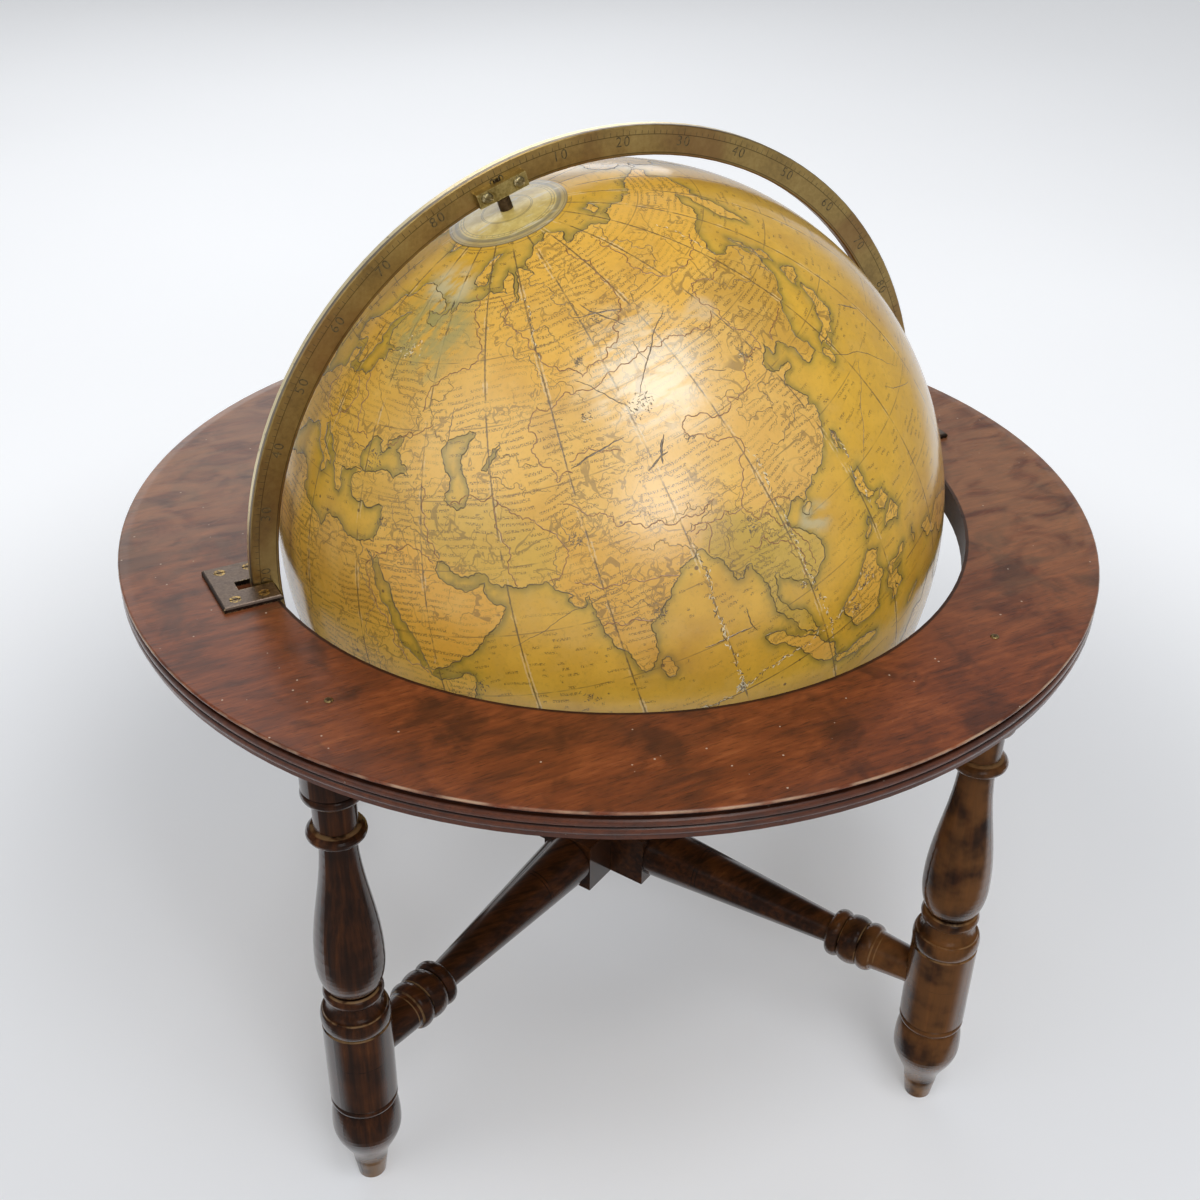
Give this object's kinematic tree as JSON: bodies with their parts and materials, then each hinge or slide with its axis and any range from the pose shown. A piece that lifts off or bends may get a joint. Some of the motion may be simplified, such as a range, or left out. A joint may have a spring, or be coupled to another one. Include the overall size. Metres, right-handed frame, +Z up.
{
  "type": "table globe",
  "caption": "Papered terrestrial globe in a graduated brass meridian ring, on a turned mahogany stand with a broad horizon ring and crossed stretchers.",
  "frame": {"origin": "on the floor under the middle of the ball", "axes": "+Z up; the graduated front face of the meridian ring lies in the XZ plane and faces -Y; the north pole leans towards -X"},
  "size_m": [0.4439, 0.444, 0.4472],
  "materials": {
    "mahogany_top": "aged varnish, mottled figure",
    "mahogany_turned": "dark polish, turned",
    "brass_ring": "aged, engraved, olive-brown patina",
    "brass_plate": "dark patina, worn bright at the bevels",
    "brass_bracket": "aged, rubbed",
    "brass_screw": "slotted, worn",
    "iron": "browned",
    "map_paper": "printed paper under yellowed varnish",
    "cap_paper": "worn paper under varnish",
    "plaster": "smooth",
    "papier_mache": "rough",
    "pine": "plain turned"
  },
  "bodies": {
    "stand": {"horizon_ring": "mahogany_top", "notch_plate_north": "brass_plate", "notch_plate_south": "brass_plate", "notch_screws_north": "brass_screw", "notch_screws_south": "brass_screw", "leg_front_left": "mahogany_turned", "leg_front_right": "mahogany_turned", "leg_back_right": "mahogany_turned", "leg_back_left": "mahogany_turned", "leg_nails": "iron", "stretcher_lower": "mahogany_turned", "stretcher_upper": "mahogany_turned", "meridian_support": "mahogany_turned"},
    "meridian": {"meridian_ring": "brass_ring", "pole_bracket_north": "brass_bracket", "pole_bracket_south": "brass_bracket", "bracket_screws_north": "brass_screw", "bracket_screws_south": "brass_screw"},
    "ball": {"globe_paper": "map_paper", "polar_cap_north": "cap_paper", "polar_cap_south": "cap_paper", "plaster_coat": "plaster", "shell_north": "papier_mache", "shell_south": "papier_mache", "axle_post": "pine", "pole_pin_north": "iron", "pole_pin_south": "iron"}
  },
  "joints": [
    {"name": "meridian_tilt", "type": "hinge", "parent": "stand", "child": "meridian", "pos_m": [0, 0.0025, 0.2765], "axis": [0, 1, 0], "range_deg": [-60, 98]},
    {"name": "ball_spin", "type": "hinge", "parent": "meridian", "child": "ball", "pos_m": [0, 0, 0.2765], "axis": [-0.3256, 0, 0.9455], "continuous": true}
  ]
}
